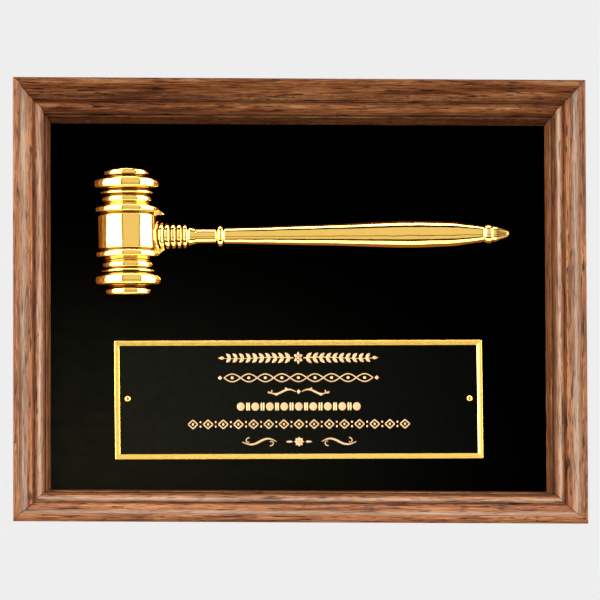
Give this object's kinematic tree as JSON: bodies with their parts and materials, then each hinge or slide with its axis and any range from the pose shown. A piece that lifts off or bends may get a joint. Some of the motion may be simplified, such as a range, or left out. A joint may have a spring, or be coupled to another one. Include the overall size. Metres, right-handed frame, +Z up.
{
  "type": "framed award plaque",
  "caption": "Wall plaque: mitred walnut frame round a black velour panel that carries a gold half-round gavel and a black gold-edged name plate, with ring hangers behind.",
  "frame": {"origin": "centre of the back cover's rear face, the face that goes against the wall", "axes": "+X to the right as seen from the front, +Z up, +Y out of the back towards the wall, so the front faces -Y"},
  "size_m": [0.381, 0.0465, 0.2988],
  "materials": {
    "walnut": "satin lacquered walnut moulding",
    "velour": "black short-pile velour",
    "hardboard": "brown hardboard",
    "kraft_board": "kraft-faced backing board",
    "gold_plate": "polished gold electroplate",
    "black_brass": "black lacquered engraving brass with a bright gold border",
    "brass": "polished brass",
    "zinc_steel": "bright zinc-plated steel",
    "rubber": "matte rubber"
  },
  "bodies": {
    "root": {"top_rail": "walnut", "bottom_rail": "walnut", "left_rail": "walnut", "right_rail": "walnut", "corner_v_nail_top_left": "zinc_steel", "corner_v_nail_top_right": "zinc_steel", "corner_v_nail_bottom_left": "zinc_steel", "corner_v_nail_bottom_right": "zinc_steel", "velour_cover": "velour", "backing_board": "hardboard", "back_cover": "kraft_board", "framing_point_top_left": "zinc_steel", "framing_point_top_right": "zinc_steel", "framing_point_bottom_left": "zinc_steel", "framing_point_bottom_right": "zinc_steel", "framing_point_left_upper": "zinc_steel", "framing_point_left_lower": "zinc_steel", "framing_point_right_upper": "zinc_steel", "framing_point_right_lower": "zinc_steel", "gavel_head": "gold_plate", "gavel_handle": "gold_plate", "gavel_screw_head_upper": "zinc_steel", "gavel_screw_head_lower": "zinc_steel", "gavel_screw_handle_near": "zinc_steel", "gavel_screw_handle_far": "zinc_steel", "gavel_washer_head_upper": "zinc_steel", "gavel_washer_head_lower": "zinc_steel", "gavel_washer_handle_near": "zinc_steel", "gavel_washer_handle_far": "zinc_steel", "name_plate": "black_brass", "name_plate_screw_left": "brass", "name_plate_screw_right": "brass", "hanger_strap_left": "zinc_steel", "hanger_strap_right": "zinc_steel", "hanger_strap_screw_left_upper": "zinc_steel", "hanger_strap_screw_left_lower": "zinc_steel", "hanger_strap_screw_right_upper": "zinc_steel", "hanger_strap_screw_right_lower": "zinc_steel", "wall_bumper_left": "rubber", "wall_bumper_right": "rubber"},
    "ring_left": {"hanger_ring_left": "zinc_steel"},
    "ring_right": {"hanger_ring_right": "zinc_steel"}
  },
  "joints": [
    {"name": "ring_left_swing", "type": "hinge", "parent": "root", "child": "ring_left", "pos_m": [-0.1782, 0.00275, 0.074], "axis": [1, 0, 0], "range_deg": [0, 180]},
    {"name": "ring_right_swing", "type": "hinge", "parent": "root", "child": "ring_right", "pos_m": [0.1782, 0.00275, 0.074], "axis": [1, 0, 0], "range_deg": [0, 180]}
  ]
}
